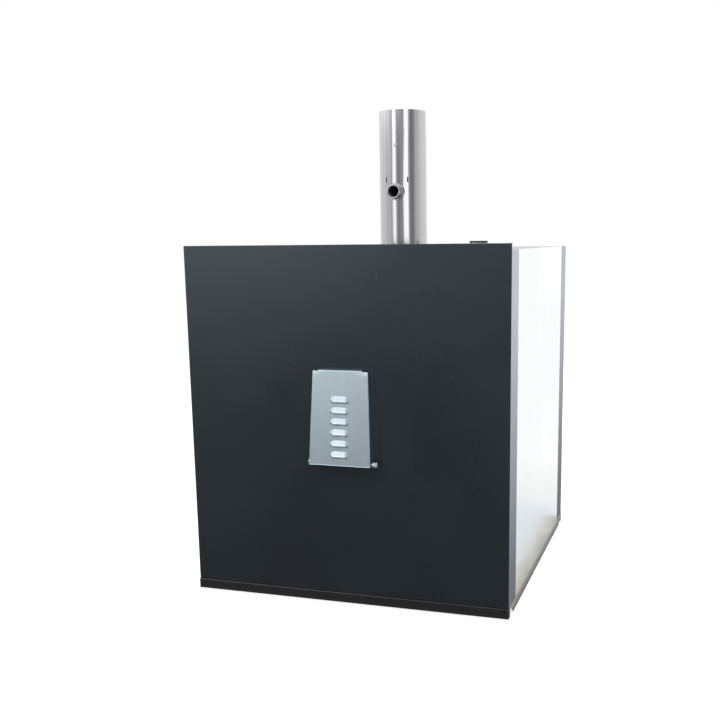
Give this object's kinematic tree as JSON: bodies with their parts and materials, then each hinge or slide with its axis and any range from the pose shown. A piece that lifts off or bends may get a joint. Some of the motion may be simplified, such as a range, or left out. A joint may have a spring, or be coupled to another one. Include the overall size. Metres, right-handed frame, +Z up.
{
  "type": "wood-fired bake oven",
  "caption": "Insulated steel-cased bake oven with a vaulted fireclay chamber, hinged door with latch and air slide, tilting louvred air hood and a flue with a damper.",
  "frame": {"origin": "on the ground, under the middle of the casing, at the underside of the base frame", "axes": "+Z up; -Y towards the rear face with the louvred air hood, +Y towards the door; +X to the right as seen from the rear"},
  "size_m": [0.933, 1.1371, 1.41],
  "materials": {
    "black_steel": "black heat-resistant paint on steel",
    "bright_sheet": "bright cold-rolled stainless sheet",
    "inner_sheet": "galvanised sheet",
    "grey_coat": "matt light grey powder coat",
    "dark_coat": "satin dark grey powder coat",
    "satin_steel": "satin stainless sheet",
    "flue_steel": "plain stainless tube",
    "turned_steel": "turned stainless steel",
    "fireclay": "dry pressed fireclay",
    "mineral_wool": "mineral wool board",
    "seal_rope": "woven glass-fibre rope",
    "cast_black": "black stove paint on cast iron",
    "black_grip": "black heat-resistant moulding",
    "dial_white": "white enamel with printed scale",
    "pointer_red": "red lacquer",
    "dial_glass": "clear flat glass"
  },
  "bodies": {
    "oven": {"base_frame": "black_steel", "floor_pan": "inner_sheet", "floor_insulation": "mineral_wool", "hearth_bed": "fireclay", "hearth_tiles": "fireclay", "side_walls": "fireclay", "rear_wall": "fireclay", "front_wall": "fireclay", "vault_arches": "fireclay", "flue_arch": "fireclay", "throat_block": "fireclay", "side_insulation": "mineral_wool", "rear_insulation": "mineral_wool", "front_insulation": "mineral_wool", "roof_insulation": "mineral_wool", "corner_posts": "grey_coat", "roof_frame": "black_steel", "left_panel": "bright_sheet", "right_panel": "bright_sheet", "rear_panel": "dark_coat", "front_panel": "dark_coat", "roof_panel": "bright_sheet", "rear_plinth": "black_steel", "front_plinth": "black_steel", "side_skirts": "black_steel", "corner_shoes": "black_steel", "casing_screws": "turned_steel", "air_duct": "inner_sheet", "ember_screen": "black_steel", "hood_bracket": "inner_sheet", "hood_pin": "turned_steel", "flue_pipe": "flue_steel", "roof_collar": "flue_steel", "measuring_socket": "turned_steel", "saddle_ring": "turned_steel", "steam_pipe": "flue_steel", "door_frame": "cast_black", "hinge_pins": "turned_steel", "latch_keeper": "cast_black"},
    "air_hood": {"air_hood": "satin_steel"},
    "clamp_knob": {"clamp_knob": "turned_steel"},
    "damper": {"damper_spindle": "turned_steel", "damper_plate": "cast_black", "damper_handle": "black_grip"},
    "steam_cap": {"steam_cap": "cast_black"},
    "door": {"door_shell": "satin_steel", "door_insulation": "mineral_wool", "door_liner": "satin_steel", "door_seal": "seal_rope", "latch_pivot": "turned_steel", "slide_guides": "satin_steel", "thermometer_case": "turned_steel", "thermometer_dial": "dial_white", "thermometer_glass": "dial_glass"},
    "latch": {"latch_lever": "cast_black", "latch_grip": "black_grip"},
    "air_slide": {"air_slide": "satin_steel"},
    "pointer": {"thermometer_pointer": "pointer_red"}
  },
  "joints": [
    {"name": "hood_tilt", "type": "hinge", "parent": "oven", "child": "air_hood", "pos_m": [0, -0.508, 0.416], "axis": [1, 0, 0], "range_deg": [0, 70]},
    {"name": "knob_turn", "type": "hinge", "parent": "oven", "child": "clamp_knob", "pos_m": [0.1, -0.508, 0.416], "axis": [1, 0, 0], "range_deg": [0, 180]},
    {"name": "damper_turn", "type": "hinge", "parent": "oven", "child": "damper", "pos_m": [0, 0.096, 1.304], "axis": [0, 1, 0], "range_deg": [0, 90]},
    {"name": "cap_lift", "type": "slide", "parent": "oven", "child": "steam_cap", "axis": [0, 0, 1], "range_m": [0, 0.03]},
    {"name": "door_swing", "type": "hinge", "parent": "oven", "child": "door", "pos_m": [0.27, 0.512, 0.497], "axis": [0, 0, -1], "range_deg": [0, 120]},
    {"name": "latch_turn", "type": "hinge", "parent": "door", "child": "latch", "pos_m": [-0.205, 0.547, 0.497], "axis": [0, 1, 0], "range_deg": [-35, 0]},
    {"name": "slide_move", "type": "slide", "parent": "door", "child": "air_slide", "axis": [-1, 0, 0], "range_m": [0, 0.024]},
    {"name": "pointer_turn", "type": "hinge", "parent": "door", "child": "pointer", "pos_m": [0, 0.541, 0.5695], "axis": [0, -1, 0], "range_deg": [0, 270]}
  ]
}
